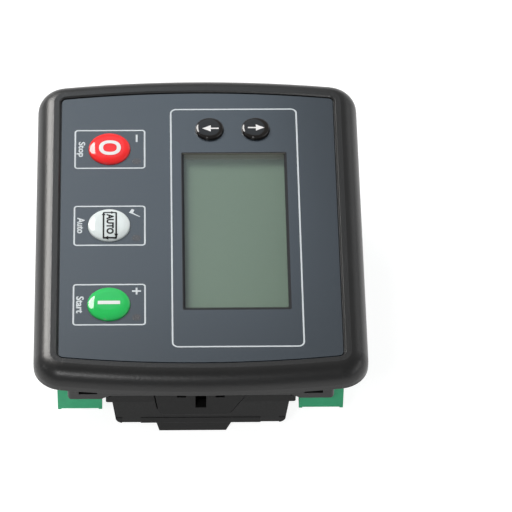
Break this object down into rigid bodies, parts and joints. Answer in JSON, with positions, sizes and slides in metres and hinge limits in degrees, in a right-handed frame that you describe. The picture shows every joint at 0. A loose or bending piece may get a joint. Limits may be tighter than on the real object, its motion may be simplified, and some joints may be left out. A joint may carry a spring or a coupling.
{
  "type": "genset controller",
  "caption": "Panel-mounted generator controller with a rolled black bezel, slate face, display, push buttons and green plug-in terminal rows behind.",
  "frame": {"origin": "middle of the rear of the hump, under the middle of the bezel: the part lies on its back", "axes": "+X along the rows of the display, +Y up its face, +Z out of the face"},
  "size_m": [0.138, 0.11, 0.0432],
  "materials": {
    "bezel_black": "fine-grained black moulding, satin",
    "case_black": "black moulding, satin",
    "film_slate": "slate-grey printed film, satin",
    "window_clear": "clear moulded pane",
    "display_grey": "grey-green reflective display, blank",
    "backlight_white": "white diffuser",
    "holder_white": "white moulding",
    "key_red": "red, glossy",
    "key_white": "white, glossy",
    "key_green": "green, glossy",
    "key_black": "black, glossy",
    "plunger_ivory": "ivory moulding",
    "switch_black": "black moulding",
    "lamp_red": "tinted clear epoxy",
    "board_green": "glass-fibre board, green solder mask",
    "screw_steel": "zinc plated",
    "relay_blue": "dark blue moulding",
    "capacitor_sleeve": "dark shrink sleeve",
    "chip_black": "black moulding compound",
    "terminal_green": "green moulding",
    "contact_tin": "tinned"
  },
  "bodies": {
    "housing": {"front_bezel": "bezel_black", "printed_film": "film_slate", "display_window": "window_clear", "display_glass": "display_grey", "backlight": "backlight_white", "display_holder": "holder_white", "switch_bodies": "switch_black", "indicator_lamps": "lamp_red", "circuit_board": "board_green", "board_screws": "screw_steel", "relays": "relay_blue", "capacitors": "capacitor_sleeve", "processor": "chip_black", "lower_header_near": "terminal_green", "lower_header_far": "terminal_green", "upper_header_near": "terminal_green", "upper_header_far": "terminal_green", "contact_pins": "contact_tin", "lower_plug_near": "terminal_green", "lower_plug_far": "terminal_green", "upper_plug_near": "terminal_green", "upper_plug_far": "terminal_green", "wire_clamps": "contact_tin", "clamp_screws": "screw_steel", "rear_case": "case_black"},
    "stop_key": {"stop_button": "key_red", "stop_plunger": "plunger_ivory"},
    "auto_key": {"auto_button": "key_white", "auto_plunger": "plunger_ivory"},
    "start_key": {"start_button": "key_green", "start_plunger": "plunger_ivory"},
    "page_back_key": {"page_back_button": "key_black", "page_back_plunger": "plunger_ivory"},
    "page_next_key": {"page_next_button": "key_black", "page_next_plunger": "plunger_ivory"}
  },
  "joints": [
    {"name": "stop_press", "type": "slide", "parent": "housing", "child": "stop_key", "axis": [0, 0, -1], "range_m": [0, 0.0005], "stiffness_N_per_m": 4000},
    {"name": "auto_press", "type": "slide", "parent": "housing", "child": "auto_key", "axis": [0, 0, -1], "range_m": [0, 0.0005], "stiffness_N_per_m": 4000},
    {"name": "start_press", "type": "slide", "parent": "housing", "child": "start_key", "axis": [0, 0, -1], "range_m": [0, 0.0005], "stiffness_N_per_m": 4000},
    {"name": "page_back_press", "type": "slide", "parent": "housing", "child": "page_back_key", "axis": [0, 0, -1], "range_m": [0, 0.0005], "stiffness_N_per_m": 4000},
    {"name": "page_next_press", "type": "slide", "parent": "housing", "child": "page_next_key", "axis": [0, 0, -1], "range_m": [0, 0.0005], "stiffness_N_per_m": 4000}
  ]
}
